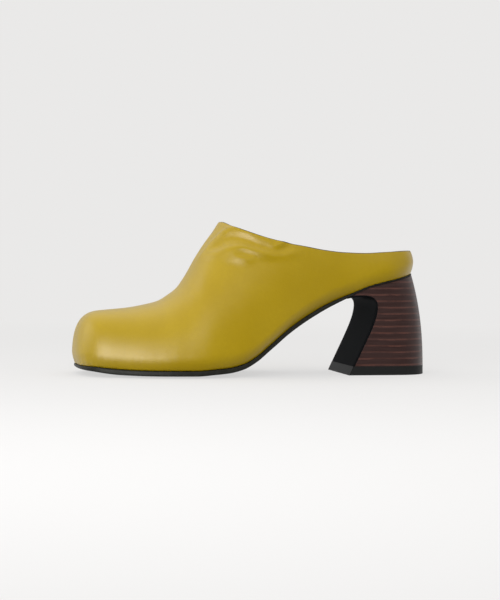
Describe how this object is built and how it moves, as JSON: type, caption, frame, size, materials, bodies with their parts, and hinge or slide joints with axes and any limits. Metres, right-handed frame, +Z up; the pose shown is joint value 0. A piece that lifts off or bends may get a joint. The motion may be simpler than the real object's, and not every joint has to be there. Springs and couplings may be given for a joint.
{
  "type": "heeled clog mule",
  "caption": "Square-toed leather clog mule for the left foot, with a low collar round the heel, a thin black sole and a curved stacked block heel.",
  "frame": {"origin": "middle of the shoe's outline seen from above, on the floor", "axes": "-X towards the toe, +X towards the heel, -Y towards the outer side, +Z up"},
  "size_m": [0.2426, 0.0876, 0.1036],
  "materials": {
    "upper_leather": "satin",
    "insole_leather": "matte",
    "sole_leather": "satin",
    "stacked_heel": "satin",
    "breast_black": "matte",
    "top_piece_rubber": "matte"
  },
  "bodies": {
    "root": {"upper": "upper_leather", "insole": "insole_leather", "outsole": "sole_leather", "heel": "stacked_heel", "breast_cover": "breast_black", "top_piece": "top_piece_rubber"}
  },
  "joints": []
}
